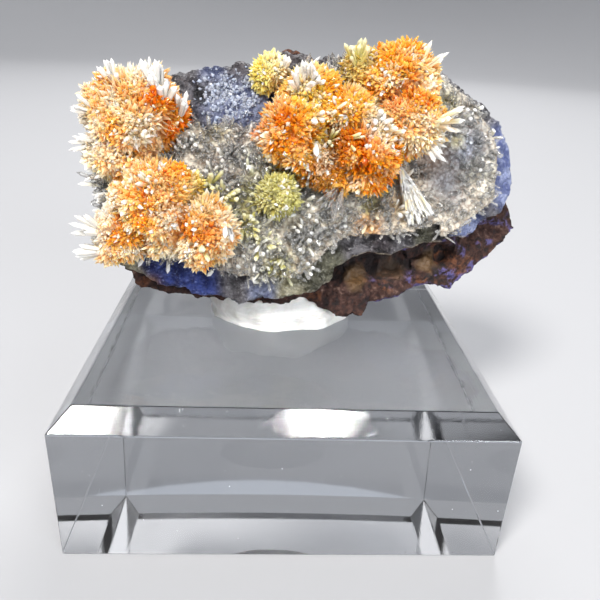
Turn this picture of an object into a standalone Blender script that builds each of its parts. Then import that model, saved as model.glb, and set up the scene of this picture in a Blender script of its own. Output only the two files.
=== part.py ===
"""Creedite cluster on fluorite and rock, stuck by a lump of putty to a bevelled acrylic block.

X runs to the right, Y away from the viewer, Z up. The origin is the middle of the block's underside.
The specimen is a plate that stands on its lower edge and leans back. A bed surface runs through it:
the creedite crystals are in front of the bed, the fluorite crust and then the rock behind it.
"""

import math
import random

import bmesh
import bpy
from mathutils import Euler, Vector, noise

MM = 0.001

# Acrylic block
BASE_SIDE = 50.8 * MM
BASE_HEIGHT = 19.05 * MM
BASE_BEVEL = 2.3 * MM

# Clearance kept between neighbouring solids
GAP = 0.3 * MM

# Bed surface, which leans back and falls away towards its sides and its top
BED_CENTRE = Vector((1.0, 39.0)) * MM
BED_DEPTH = -3.2 * MM
BED_LEAN = 0.36
BED_FALL = 3.0 * MM
BED_HALF_WIDTH = 28.0 * MM
BED_HALF_HEIGHT = 17.0 * MM

# Hollow in the bed, right of the middle mass
HOLLOW_CENTRE = Vector((17.0, 40.0)) * MM
HOLLOW_RADIUS = 4.2 * MM
HOLLOW_DEPTH = 2.4 * MM

CARPET_THICKNESS = 1.9 * MM
CARPET_RELIEF = 0.5 * MM
CRUST_THICKNESS = 2.2 * MM
CRUST_RAGGEDNESS = 0.7 * MM
ROCK_WAIST = 4.0 * MM
ROCK_SHOULDER = 9.0 * MM
ROCK_BACK = 13.5 * MM
ROCK_RELIEF = 2.6 * MM

# The rock's underside slopes, and stands higher on the left
UNDERSIDE_HEIGHT = 22.0 * MM
UNDERSIDE_SLOPE = -0.09
UNDERSIDE_LOW_X = 7.0 * MM

# Cells across and up the bed; the crystals' side of the carpet has twice as many each way
CELLS = (10, 7)

# Outlines across the face, as (x, z) in millimetres, anticlockwise from the right
CARPET_OUTLINE = (
    (26.4, 39.4), (26.4, 42.4), (23.5, 47.9), (20.1, 49.8), (17.7, 52.6), (13.0, 53.6),
    (6.9, 52.9), (1.0, 52.0), (-2.4, 49.5), (-6.6, 47.5), (-10.7, 47.0), (-17.6, 48.8),
    (-22.2, 47.4), (-24.0, 44.5), (-24.1, 40.0), (-23.4, 36.1), (-23.7, 31.5), (-20.8, 29.3),
    (-15.3, 30.1), (-11.0, 29.2), (-6.1, 27.9), (-0.5, 27.7), (2.5, 28.9), (5.5, 32.0),
    (9.1, 33.6), (14.2, 33.3), (18.7, 34.5), (22.4, 37.2),
)
CRUST_OUTLINE = (
    (29.2, 38.5), (29.2, 41.2), (27.5, 45.4), (24.6, 48.0), (19.0, 52.1), (13.5, 54.2),
    (6.3, 52.6), (0.6, 53.0), (-4.1, 52.1), (-11.9, 50.6), (-18.2, 49.6), (-23.9, 47.3),
    (-25.2, 43.9), (-25.2, 39.9), (-24.6, 35.2), (-24.3, 29.3), (-20.9, 27.5), (-14.4, 26.1),
    (-9.4, 24.6), (-6.7, 24.8), (0.2, 25.2), (3.8, 26.0), (5.9, 28.5), (9.7, 30.7),
    (14.3, 31.1), (21.6, 32.6), (26.5, 34.9), (28.8, 36.2),
)
ROCK_OUTLINE = (
    (30.0, 38.6), (29.3, 42.7), (25.4, 47.0), (19.5, 51.0), (14.1, 53.9), (6.6, 52.3),
    (3.9, 53.2), (-0.7, 53.6), (-6.3, 51.5), (-11.5, 50.1), (-18.7, 48.6), (-24.0, 45.5),
    (-24.9, 40.7), (-24.6, 35.9), (-24.1, 30.5), (-22.4, 26.8), (-18.0, 24.0), (-14.0, 23.3),
    (-4.9, 23.2), (2.3, 22.8), (6.4, 22.0), (9.1, 22.2), (13.0, 24.1), (19.1, 25.4),
    (24.8, 27.0), (28.4, 29.7), (30.8, 32.6), (31.2, 34.6),
)

# Creedite balls: every lobe is (x, z, stand-off from the bed, core radius, crystal length) in mm
CLUSTERS = {
    "creedite_ball_upper_left": ((-19.2, 46.2, 3.0, 4.8, 1.7), (-21.3, 42.0, 2.6, 3.1, 1.3)),
    "creedite_ball_lower_left": (
        (-16.1, 36.8, 3.2, 4.5, 1.6),
        (-10.4, 33.6, 2.8, 3.7, 1.4),
        (-20.0, 32.4, 2.8, 3.1, 1.7),
        (-15.2, 32.6, 2.6, 3.0, 1.2),
    ),
    "creedite_mass_centre": (
        (0.1, 45.1, 3.0, 3.9, 1.4),
        (2.1, 49.0, 2.6, 3.3, 1.3),
        (6.1, 47.2, 2.8, 3.3, 1.2),
        (8.6, 43.1, 3.2, 3.8, 1.4),
        (4.4, 41.9, 2.6, 3.1, 1.2),
        (12.6, 51.2, 2.8, 3.8, 1.5),
        (13.6, 46.7, 2.8, 3.6, 1.5),
        (8.4, 51.8, 2.0, 2.4, 1.2),
    ),
    "creedite_tuft_yellow": ((-3.6, 50.9, 1.9, 2.0, 1.2),),
    "creedite_ball_green": ((-1.7, 38.0, 2.2, 2.4, 1.0),),
}
CRYSTAL_CELL = 1.9 * MM

# Spray of long pale crystals that fans out below the middle mass
FAN_ROOT = Vector((12.2, 39.8)) * MM
FAN_RADIUS = 5.0 * MM

# Putty lump between the block and the rock
PUTTY_CENTRE = Vector((-1.0, 2.4)) * MM
PUTTY_HALF_WIDTH = 8.4 * MM
PUTTY_HALF_DEPTH = 6.2 * MM
PUTTY_BULGE = 0.9 * MM

SEED = 7


def bed(x, z):
    """Depth of the bed surface at a place on the face."""
    side = (x - BED_CENTRE.x) / BED_HALF_WIDTH
    rise = max(0.0, z - BED_CENTRE.y) / BED_HALF_HEIGHT
    fall = BED_FALL * (side**2 + rise**2) ** 2
    off = (Vector((x, z)) - HOLLOW_CENTRE).length / HOLLOW_RADIUS
    return BED_DEPTH + BED_LEAN * (z - BED_CENTRE.y) + fall + HOLLOW_DEPTH * math.exp(-off * off)


def carpet_front(x, z):
    """Depth of the carpet's surface, between its crystals."""
    return bed(x, z) - CARPET_THICKNESS - CARPET_RELIEF * noise.noise(Vector((x, z, 0)) / (4 * MM))


def outward(x, z):
    """Unit normal of the bed, towards the viewer."""
    step = 0.5 * MM
    along = (bed(x + step, z) - bed(x - step, z)) / (2 * step)
    up = (bed(x, z + step) - bed(x, z - step)) / (2 * step)
    return Vector((along, -1, up)).normalized()


def underside(x):
    """Height of the rock's underside."""
    return UNDERSIDE_HEIGHT + UNDERSIDE_SLOPE * (x - UNDERSIDE_LOW_X)


def reach(outline, angle):
    """Distance from the bed's centre to an outline in one direction."""
    ray = Vector((math.cos(angle), math.sin(angle)))
    corners = [Vector(corner) * MM - BED_CENTRE for corner in outline]
    for start, end in zip(corners, corners[1:] + corners[:1]):
        edge = end - start
        facing = ray.cross(edge)
        if facing > 0 and 0 <= start.cross(ray) / facing <= 1:
            return start.cross(edge) / facing
    raise ValueError("the outline doesn't go round the bed's centre")


def outer_reach(angle):
    """Distance from the bed's centre to the outermost of the plate's layers."""
    return max(reach(outline, angle) for outline in (CARPET_OUTLINE, CRUST_OUTLINE, ROCK_OUTLINE))


def on_face(angle, distance):
    """The (x, z) place at a distance from the bed's centre."""
    return BED_CENTRE + distance * Vector((math.cos(angle), math.sin(angle)))


def sheet(bm, edge, depth, cells):
    """A grid of corners over the face, out to an edge: rows of vertices from the bottom up."""
    rows = []
    for row in range(cells[1] + 1):
        rows.append([])
        for column in range(cells[0] + 1):
            across, up = 2 * column / cells[0] - 1, 2 * row / cells[1] - 1
            disc = Vector((across * math.sqrt(1 - up * up / 2), up * math.sqrt(1 - across * across / 2)))
            angle = math.atan2(disc.y * BED_HALF_HEIGHT, disc.x * BED_HALF_WIDTH)
            x, z = on_face(angle, disc.length * edge(angle))
            rows[-1].append(bm.verts.new((x, depth(x, z), z)))
    return rows


def rim(rows):
    """The sheet's edge, once round, anticlockwise as the viewer sees it."""
    return rows[0] + [row[-1] for row in rows[1:-1]] + rows[-1][::-1] + [row[0] for row in rows[-2:0:-1]]


def skin(bm, rows):
    """The faces of a sheet."""
    faces = []
    for low, high in zip(rows, rows[1:]):
        for left in range(len(low) - 1):
            faces.append(bm.faces.new((low[left], low[left + 1], high[left + 1], high[left])))
    return faces


def wall(bm, one, other):
    """Faces between two rings, where one may have twice as many corners as the other."""
    few, many = sorted((one, other), key=len)
    share = len(many) // len(few)
    for i, corner in enumerate(few):
        after = few[(i + 1) % len(few)]
        span = [many[(i * share + k) % len(many)] for k in range(share + 1)]
        if share == 1:
            bm.faces.new((corner, after, span[1], span[0]))
        else:
            bm.faces.new((corner, span[1], span[0]))
            bm.faces.new((corner, after, span[1]))
            bm.faces.new((after, span[2], span[1]))


def belt(bm, edge, depth, jag=0.0, rng=None):
    """A ring of corners round the plate, twice as many as a sheet's rim has."""
    scratch = bmesh.new()
    angles = []
    for corner in rim(sheet(scratch, edge, depth, [2 * count for count in CELLS])):
        angles.append(math.atan2(corner.co.z - BED_CENTRE.y, corner.co.x - BED_CENTRE.x))
    scratch.free()
    ring = []
    for angle in angles:
        x, z = on_face(angle, edge(angle) + (jag * rng.uniform(-1, 1) if rng else 0))
        ring.append(bm.verts.new((x, depth(x, z), z)))
    return ring


def material(name, colour, roughness):
    made = bpy.data.materials.new(name)
    made.use_nodes = True
    shader = made.node_tree.nodes["Principled BSDF"]
    shader.inputs["Base Color"].default_value = (*colour, 1)
    shader.inputs["Roughness"].default_value = roughness
    shader.inputs["Metallic"].default_value = 0
    return made


def solid(name, bm, finish):
    """Makes the object of a finished mesh."""
    mesh = bpy.data.meshes.new(name)
    bmesh.ops.recalc_face_normals(bm, faces=bm.faces)
    bm.to_mesh(mesh)
    bm.free()
    mesh.materials.append(finish)
    made = bpy.data.objects.new(name, mesh)
    bpy.context.scene.collection.objects.link(made)
    return made


def combine(target, other, operation):
    """Joins or cuts with another object, which is then a helper."""
    boolean = target.modifiers.new(other.name, "BOOLEAN")
    boolean.solver = "EXACT"
    boolean.use_self = True
    boolean.operation = operation
    boolean.object = other
    other.hide_render = True
    other.display_type = "WIRE"


def grow_crystal(bm, face, direction, length, waist):
    """Draws a face out into a four-sided prism with a pointed end."""
    top = bmesh.ops.extrude_discrete_faces(bm, faces=[face])["faces"][0]
    root = top.calc_center_median()
    for corner in top.verts:
        corner.co = root + (corner.co - root) * waist + direction * length * 0.7
    apex = bmesh.ops.poke(bm, faces=[top])["verts"][0]
    apex.co += direction * length * 0.3


def lobe_centre(lobe):
    """Place in space of the middle of a creedite lobe."""
    x, z, stand_off = (size * MM for size in lobe[:3])
    return Vector((x, bed(x, z) - stand_off, z))


def nearest_core(point, lobes):
    """Distance from a point to the surface of the nearest lobe core."""
    return min((point - lobe_centre(lobe)).length - lobe[3] * MM for lobe in lobes)


def in_plate(point, margin):
    """True if a point is in the plate of rock, crust and crystal carpet, or this near to it."""
    place = Vector((point.x, point.z)) - BED_CENTRE
    if place.length > outer_reach(math.atan2(place.y, place.x)) + margin:
        return False
    return point.y > carpet_front(point.x, point.z) - margin


def crystal_lobe(name, lobe, kin, strangers, finish, rng):
    """One ball of radiating crystals: a rounded cube with its faces drawn out."""
    radius, crystal = lobe[3] * MM, lobe[4] * MM
    centre = lobe_centre(lobe)
    cells = max(3, round(radius * math.pi / 2 / CRYSTAL_CELL))
    bm = bmesh.new()
    bmesh.ops.create_cube(bm, size=2)
    bmesh.ops.subdivide_edges(bm, edges=bm.edges, cuts=cells - 1, use_grid_fill=True)
    turn = Euler(rng.uniform(0, math.pi) for _ in range(3)).to_matrix()
    for corner in bm.verts:
        # Evens out the cells before they are blown up to the ball
        even = Vector(math.tan(axis * math.pi / 4) for axis in corner.co).normalized()
        shift = Vector(rng.uniform(-1, 1) for _ in range(3)) * 0.22 / cells
        corner.co = turn @ (even + shift).normalized() * radius * rng.uniform(0.96, 1.03)
    others = [other for other in kin if other is not lobe]
    for face in list(bm.faces):
        ray = face.calc_center_median().normalized()
        length = crystal * rng.triangular(0.6, 1.5, 0.9)
        direction = (ray + 0.2 * Vector(rng.uniform(-1, 1) for _ in range(3))).normalized()
        waist = rng.uniform(0.5, 0.85)
        root, tip = centre + ray * radius, centre + ray * radius + direction * length
        buried = in_plate(root, 1.0 * MM) or in_plate(tip, 1.5 * MM)
        joined = bool(others) and nearest_core(tip, others) < 0.8 * MM
        crowded = nearest_core(tip, strangers) < nearest_core(tip, [lobe]) + 0.5 * MM
        if not (buried or joined or crowded):
            grow_crystal(bm, face, direction, length, waist)
    made = solid(name, bm, finish)
    made.location = centre
    return made


def cluster(name, lobes, plate, finish):
    """A creedite ball or mass: its lobes grown together into one solid that sits on the plate."""
    rng = random.Random(f"{name} {SEED}")
    strangers = [lobe for other, theirs in CLUSTERS.items() if other != name for lobe in theirs]
    main, *rest = (
        crystal_lobe(f"{name}_lobe_{i}", lobe, lobes, strangers, finish, rng) for i, lobe in enumerate(lobes)
    )
    main.name = name
    for part in rest:
        combine(main, part, "UNION")
    combine(main, plate, "DIFFERENCE")


def plate_envelope(finish):
    """The cutter that shapes the balls' undersides: the whole plate, with a clearance all round."""
    bm = bmesh.new()
    clearance = 0.6 * MM
    edge = lambda angle: outer_reach(angle) + clearance
    near = sheet(bm, edge, lambda x, z: carpet_front(x, z) - clearance, [2 * count for count in CELLS])
    far = sheet(bm, edge, lambda x, z: 2 * ROCK_BACK, CELLS)
    skin(bm, near)
    skin(bm, far)
    wall(bm, rim(near), rim(far))
    return solid("plate_envelope", bm, finish)


def crystal_carpet(finish):
    """The close-set clear creedite crystals between the balls, leaning in sprays."""
    rng = random.Random(SEED)
    edge = lambda angle: reach(CARPET_OUTLINE, angle)
    bm = bmesh.new()
    near = sheet(bm, edge, carpet_front, [2 * count for count in CELLS])
    far = sheet(bm, edge, bed, CELLS)
    for corner in [corner for row in near[1:-1] for corner in row[1:-1]]:
        corner.co.x += rng.uniform(-0.45, 0.45) * MM
        corner.co.z += rng.uniform(-0.35, 0.35) * MM
        corner.co.y = carpet_front(corner.co.x, corner.co.z)
    faces = skin(bm, near)
    skin(bm, far)
    wall(bm, rim(near), rim(far))
    every_lobe = [lobe for lobes in CLUSTERS.values() for lobe in lobes]
    bmesh.ops.recalc_face_normals(bm, faces=bm.faces)
    for face in faces:
        root = face.calc_center_median()
        room = nearest_core(root, every_lobe)
        length = min(rng.uniform(1.1, 2.3) * MM, 0.6 * room)
        jitter = Vector(rng.uniform(-1, 1) for _ in range(3))
        spread = (Vector((root.x, root.z)) - FAN_ROOT) / FAN_RADIUS
        if spread.length < 1:
            sway = 1.2 * Vector((spread.x, 0, spread.y))
            length = 1.5 * length
        else:
            sway = 0.9 * noise.noise_vector(root / (9 * MM))
        direction = (outward(root.x, root.z) + sway + 0.12 * jitter).normalized()
        waist = rng.uniform(0.5, 0.75)
        if length > 0.7 * MM:
            grow_crystal(bm, face, direction, length, waist)
    solid("creedite_carpet", bm, finish)


def fluorite_crust(finish):
    """The blue-violet fluorite layer between the creedite and the rock, with a ragged rim."""
    rng = random.Random(SEED + 1)
    inner = lambda angle: reach(CARPET_OUTLINE, angle)
    outer = lambda angle: reach(CRUST_OUTLINE, angle)
    bm = bmesh.new()
    near = sheet(bm, inner, lambda x, z: bed(x, z) + GAP, CELLS)
    lip = belt(bm, outer, lambda x, z: bed(x, z) + GAP + 0.3 * MM, CRUST_RAGGEDNESS, rng)
    keel = belt(bm, outer, lambda x, z: bed(x, z) + CRUST_THICKNESS - 0.3 * MM, CRUST_RAGGEDNESS, rng)
    far = sheet(bm, inner, lambda x, z: bed(x, z) + CRUST_THICKNESS, CELLS)
    skin(bm, near)
    wall(bm, rim(near), lip)
    wall(bm, lip, keel)
    wall(bm, keel, rim(far))
    skin(bm, far)
    solid("fluorite_crust", bm, finish)


def matrix_rock(finish):
    """The brown host rock: broken below and on its right, rounded behind, flat on the putty."""
    rng = random.Random(SEED + 2)
    start = CRUST_THICKNESS + GAP

    def back(x, z):
        side = (x - BED_CENTRE.x) / BED_HALF_WIDTH
        rise = (z - BED_CENTRE.y) / BED_HALF_HEIGHT
        lumps = noise.noise(Vector((x, z, ROCK_BACK)) / (7 * MM))
        return ROCK_BACK - 3 * MM * (side**2 + rise**2) + 1.8 * MM * lumps

    inner = lambda angle: reach(CARPET_OUTLINE, angle)
    outer = lambda angle: reach(ROCK_OUTLINE, angle)
    bm = bmesh.new()
    near = sheet(bm, inner, lambda x, z: bed(x, z) + start, CELLS)
    halfway = lambda angle: (inner(angle) + outer(angle)) / 2
    rings = [
        rim(near),
        belt(bm, halfway, lambda x, z: bed(x, z) + start + 0.5 * MM),
        belt(bm, outer, lambda x, z: bed(x, z) + start + 0.9 * MM),
        belt(bm, outer, lambda x, z: max(bed(x, z) + start + 2.5 * MM, ROCK_WAIST)),
        belt(bm, lambda angle: 0.87 * outer(angle), lambda x, z: ROCK_SHOULDER),
    ]
    far = sheet(bm, lambda angle: 0.66 * outer(angle), back, CELLS)
    rings.append(rim(far))
    skin(bm, near)
    skin(bm, far)
    for one, next_one in zip(rings, rings[1:]):
        wall(bm, one, next_one)
    for ring in rings[1:-1]:
        for corner in ring:
            corner.co += ROCK_RELIEF * noise.noise_vector(corner.co / (3 * MM)) * rng.uniform(0.5, 1)
            clear = bed(corner.co.x, corner.co.z) + start + 0.1 * MM
            corner.co.y = max(corner.co.y, clear)
    for corner in bm.verts:
        corner.co.z = max(corner.co.z, underside(corner.co.x))
    solid("matrix_rock", bm, finish)


def putty(finish):
    """White mineral putty, squeezed out between the block and the rock."""
    sides, levels = 24, 4
    bm = bmesh.new()
    rings = []
    for level in range(levels):
        share = level / (levels - 1)
        ring = []
        for i in range(sides):
            turn = 2 * math.pi * i / sides
            wobble = 1 + 0.05 * math.sin(3 * turn + 1) + 0.03 * math.sin(5 * turn)
            swell = PUTTY_BULGE * math.sin(math.pi * min(1, share + 0.15))
            x = PUTTY_CENTRE.x + (PUTTY_HALF_WIDTH * wobble + swell) * math.cos(turn)
            y = PUTTY_CENTRE.y + (PUTTY_HALF_DEPTH * wobble + swell) * math.sin(turn)
            low, high = BASE_HEIGHT + GAP, underside(x) - GAP
            ring.append(bm.verts.new((x, y, low + (high - low) * share)))
        rings.append(ring)
    for one, next_one in zip(rings, rings[1:]):
        wall(bm, one, next_one)
    bm.faces.new(rings[0])
    bm.faces.new(rings[-1])
    solid("mounting_putty", bm, finish)


def acrylic_base(finish):
    """Clear cast acrylic block, sawn square, with its four top edges milled off at 45 degrees."""
    bm = bmesh.new()
    bmesh.ops.create_cube(bm, size=1)
    bmesh.ops.scale(bm, vec=(BASE_SIDE, BASE_SIDE, BASE_HEIGHT), verts=bm.verts)
    bmesh.ops.translate(bm, vec=(0, 0, BASE_HEIGHT / 2), verts=bm.verts)
    top = [edge for edge in bm.edges if all(v.co.z > BASE_HEIGHT / 2 for v in edge.verts)]
    bmesh.ops.bevel(bm, geom=top, offset=BASE_BEVEL, segments=1, affect="EDGES")
    solid("acrylic_base", bm, finish)


def main():
    for old in list(bpy.data.objects):
        bpy.data.objects.remove(old)
    noise.seed_set(SEED)
    clear = material("clear_creedite", (0.70, 0.68, 0.58), 0.2)
    orange = material("orange_creedite", (0.85, 0.33, 0.06), 0.25)
    yellow = material("yellow_creedite", (0.80, 0.74, 0.16), 0.25)

    acrylic_base(material("clear_acrylic", (0.86, 0.92, 0.98), 0.05))
    putty(material("white_putty", (0.82, 0.80, 0.76), 0.7))
    matrix_rock(material("brown_rock", (0.20, 0.11, 0.07), 0.85))
    fluorite_crust(material("blue_fluorite", (0.22, 0.24, 0.55), 0.35))
    crystal_carpet(clear)
    plate = plate_envelope(clear)
    for name, lobes in CLUSTERS.items():
        cluster(name, lobes, plate, yellow if "yellow" in name or "green" in name else orange)


main()
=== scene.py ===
"""Looks of the creedite cluster: every piece is cut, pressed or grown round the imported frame."""

import math
import random

import bmesh
import bpy
import numpy as np
from mathutils import Matrix, Vector, noise
from mathutils.bvhtree import BVHTree


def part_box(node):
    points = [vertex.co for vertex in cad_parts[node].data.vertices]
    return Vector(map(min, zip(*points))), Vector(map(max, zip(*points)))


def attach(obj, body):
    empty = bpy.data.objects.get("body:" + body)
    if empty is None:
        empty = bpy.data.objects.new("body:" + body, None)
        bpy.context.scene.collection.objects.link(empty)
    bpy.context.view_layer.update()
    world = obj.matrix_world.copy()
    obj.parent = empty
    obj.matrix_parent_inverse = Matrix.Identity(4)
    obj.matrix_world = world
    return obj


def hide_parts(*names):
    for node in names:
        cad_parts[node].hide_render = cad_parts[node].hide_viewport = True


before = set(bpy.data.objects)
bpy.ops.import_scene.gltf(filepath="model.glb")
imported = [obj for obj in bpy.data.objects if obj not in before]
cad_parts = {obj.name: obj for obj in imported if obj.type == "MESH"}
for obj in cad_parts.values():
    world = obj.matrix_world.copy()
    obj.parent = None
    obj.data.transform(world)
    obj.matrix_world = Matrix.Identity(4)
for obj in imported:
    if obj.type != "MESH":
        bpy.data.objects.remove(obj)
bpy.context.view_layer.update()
MM = 0.001
noise.seed_set(5)


# Acrylic block: one clear cast piece, sawn square, its four top edges milled off at 45 degrees.
# The faces are polished. The bevels keep fine milling lines, and dust and hair scratches lie on all of it.

BLOCK_EDGE_ROUNDING = 0.12 * MM
BLOCK_TINT = (0.97, 0.985, 1, 1)
DUST_COLOUR = (0.8, 0.82, 0.85, 1)
MILLING_PITCH = 0.16 * MM


class Wire:
    """A socket in a node tree. Arithmetic on it adds Math nodes, and node() adds any other node."""

    def __init__(self, tree, socket=None):
        self.tree = tree
        self.socket = socket

    def node(self, kind, settings=None, inputs=None, output=0):
        made = self.tree.nodes.new(kind)
        for name, value in (settings or {}).items():
            if name == "stops":
                set_stops(made.color_ramp, value)
            else:
                setattr(made, name, value)
        for key, value in (inputs or {}).items():
            if isinstance(value, Wire):
                self.tree.links.new(value.socket, made.inputs[key])
            else:
                made.inputs[key].default_value = value
        return Wire(self.tree, made.outputs[output] if made.outputs else None)

    def math(self, operation, *values):
        return self.node("ShaderNodeMath", {"operation": operation}, dict(enumerate(values)))

    def __add__(self, other):
        return self.math("ADD", self, other)

    def __sub__(self, other):
        return self.math("SUBTRACT", self, other)

    def __rsub__(self, other):
        return self.math("SUBTRACT", other, self)

    def __mul__(self, other):
        return self.math("MULTIPLY", self, other)

    __radd__ = __add__
    __rmul__ = __mul__

    def over(self, low, high):
        """0 below low, 1 above high and a smooth step between; low may be the larger."""
        inputs = {"Value": self, "From Min": low, "From Max": high}
        return self.node("ShaderNodeMapRange", {"interpolation_type": "SMOOTHSTEP"}, inputs)


def set_stops(ramp, stops):
    """Gives a colour ramp its stops, each a place and a colour."""
    while len(ramp.elements) < len(stops):
        ramp.elements.new(1)
    for element, (place, colour) in zip(ramp.elements, stops):
        element.position = place
        element.color = colour


def start_material(name):
    """An empty material, a wire to add its nodes from, and the place on the piece in metres."""
    made = bpy.data.materials.new(name)
    made.use_nodes = True
    made.node_tree.nodes.clear()
    wire = Wire(made.node_tree)
    return made, wire, wire.node("ShaderNodeTexCoord", output=3)


def surface(wire, inputs):
    return wire.node("ShaderNodeBsdfPrincipled", inputs=inputs)


def finish_material(made, wire, shader):
    wire.node("ShaderNodeOutputMaterial", inputs={"Surface": shader})
    return made


def grain(place, size, detail=3, stretch=(1, 1, 1)):
    """Noise from 0 to 1 with grains of about the given size."""
    mapped = place.node("ShaderNodeVectorMath", {"operation": "MULTIPLY"}, {0: place, 1: stretch})
    inputs = {"Vector": mapped, "Scale": 1 / size, "Detail": detail, "Roughness": 0.6}
    return place.node("ShaderNodeTexNoise", inputs=inputs)


def pebbles(place, size):
    """0 in the middles of rounded cells, and more towards their edges."""
    return place.node("ShaderNodeTexVoronoi", inputs={"Vector": place, "Scale": 1 / size})


def blend(factor, first, second):
    """Colour between two others."""
    inputs = {"Factor": factor, 6: first, 7: second}
    return factor.node("ShaderNodeMix", {"data_type": "RGBA"}, inputs, 2)


def bump(height, depth):
    """Surface relief of a depth in metres, from a height between 0 and 1."""
    return height.node("ShaderNodeBump", inputs={"Height": height, "Distance": depth})


def add_object(name, data, materials=()):
    made = bpy.data.objects.new(name, data)
    bpy.context.scene.collection.objects.link(made)
    for finish in materials:
        data.materials.append(finish)
    return made


def from_bmesh(name, bm, materials=(), smooth=False):
    """An object of a mesh just built."""
    mesh = bpy.data.meshes.new(name)
    bm.to_mesh(mesh)
    bm.free()
    if smooth:
        mesh.shade_smooth()
    return add_object(name, mesh, materials)


def acrylic_material(bevel_height):
    made, wire, place = start_material("polished_acrylic")
    height = wire.node("ShaderNodeSeparateXYZ", inputs={0: place}, output=2)
    on_bevel = height.over(bevel_height - 0.1 * MM, bevel_height + 0.1 * MM)
    lines = grain(place, MILLING_PITCH, 1, (1, 0.05, 1))
    hairs = grain(place, 0.5 * MM, 4, (1, 0.03, 0.2))
    scratch = hairs.over(0.7, 0.78) * grain(place, 9 * MM).over(0.5, 0.65)
    dust = pebbles(place, 1.3 * MM).over(0.06, 0.03) * grain(place, 6 * MM).over(0.45, 0.7)
    relief = on_bevel * lines * 0.35 + scratch * 0.3
    inputs = {"Base Color": BLOCK_TINT, "Roughness": 0.02, "IOR": 1.49, "Transmission Weight": 1}
    inputs["Normal"] = bump(relief, 0.02 * MM)
    clear = surface(wire, inputs)
    dusty = surface(wire, {"Base Color": DUST_COLOUR, "Roughness": 0.8})
    mixed = wire.node("ShaderNodeMixShader", inputs={0: dust, 1: clear, 2: dusty})
    return finish_material(made, wire, mixed)


block_low, block_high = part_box("acrylic_base")
block_corners = [v.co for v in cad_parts["acrylic_base"].data.vertices]
block_bevel = block_high.x - max(place.x for place in block_corners if place.z > block_high.z - 0.01 * MM)
bm = bmesh.new()
bmesh.ops.create_cube(bm, size=1)
bmesh.ops.scale(bm, vec=block_high - block_low, verts=bm.verts)
bmesh.ops.translate(bm, vec=(block_low + block_high) / 2, verts=bm.verts)
top_edges = [e for e in bm.edges if all(v.co.z > block_high.z / 2 for v in e.verts)]
bmesh.ops.bevel(bm, geom=top_edges, offset=block_bevel, segments=1, affect="EDGES")
bmesh.ops.bevel(bm, geom=bm.edges, offset=BLOCK_EDGE_ROUNDING, segments=2, affect="EDGES", profile=0.5)
bmesh.ops.recalc_face_normals(bm, faces=bm.faces)
block = from_bmesh("clear_block", bm, [acrylic_material(block_high.z - block_bevel)])
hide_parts("acrylic_base")
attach(block, "root")


# Mineral putty: a white lump, rolled in the fingers and squeezed between the block and the rock.
# It is matt, with soft creases and finger dents, and its lower edge lies unevenly on the block.

PUTTY_RINGS = 26
PUTTY_SIDES = 120
PUTTY_WHITE = (0.92, 0.91, 0.88, 1)
PUTTY_SHADE = (0.74, 0.71, 0.66, 1)
PUTTY_BURIED = 1.6 * MM


def putty_material():
    made, wire, place = start_material("pressed_putty")
    mottle = grain(place, 2.5 * MM, 4)
    creases = grain(place, 1.1 * MM, 3, (0.5, 1, 2.4))
    fine = grain(place, 0.12 * MM, 2)
    colour = blend(mottle.over(0.4, 0.75), PUTTY_WHITE, PUTTY_SHADE)
    relief = bump(creases * 0.7 + fine * 0.12, 0.35 * MM)
    inputs = {"Base Color": colour, "Roughness": 0.62 + fine * 0.2, "Normal": relief}
    inputs.update({"Subsurface Weight": 0.1, "Subsurface Scale": 0.4 * MM})
    return finish_material(made, wire, surface(wire, inputs))


def putty_edge(angle, share):
    """Distance from the lump's middle in half widths, at a height from 0 to 1."""
    folds = noise.noise(Vector((2.2 * math.cos(angle), 2.2 * math.sin(angle), 1.4 * share)))
    dents = noise.noise(Vector((5 * math.cos(angle) + 7, 5 * math.sin(angle), 4 * share)))
    swell = 0.1 * math.sin(math.pi * min(1, share + 0.2))
    lip = 0.05 * max(0, 1 - share / 0.12) ** 2
    return 0.96 + swell + lip + 0.07 * folds + 0.035 * dents


def join_rings(bm, rings):
    """Fills a closed band of faces between each ring of corners and the next."""
    for low, high in zip(rings, rings[1:]):
        for i in range(len(low)):
            after = (i + 1) % len(low)
            bm.faces.new((low[i], low[after], high[after], high[i]))


putty_low, putty_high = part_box("mounting_putty")
putty_middle = (putty_low + putty_high) / 2
putty_half = (putty_high - putty_low) / 2
bm = bmesh.new()
rings = []
for level in range(PUTTY_RINGS):
    share = level / (PUTTY_RINGS - 1)
    z = block_high.z + (putty_high.z + PUTTY_BURIED - block_high.z) * share
    rings.append([])
    for side in range(PUTTY_SIDES):
        angle = math.tau * side / PUTTY_SIDES
        out = putty_edge(angle, share)
        x = putty_middle.x + putty_half.x * out * math.cos(angle)
        y = putty_middle.y + putty_half.y * out * math.sin(angle)
        rings[-1].append(bm.verts.new((x, y, z)))
join_rings(bm, rings)
bm.faces.new(rings[0][::-1])
bm.faces.new(rings[-1])
putty = from_bmesh("pressed_putty", bm, [putty_material()], smooth=True)
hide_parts("mounting_putty")
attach(putty, "root")


# Host rock: brown limonite with a broken, crumbly face below the crust and a weathered back.
# Yellowish translucent nodules lie in a recess on its lower right, and violet grains line its lower edge.

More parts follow.
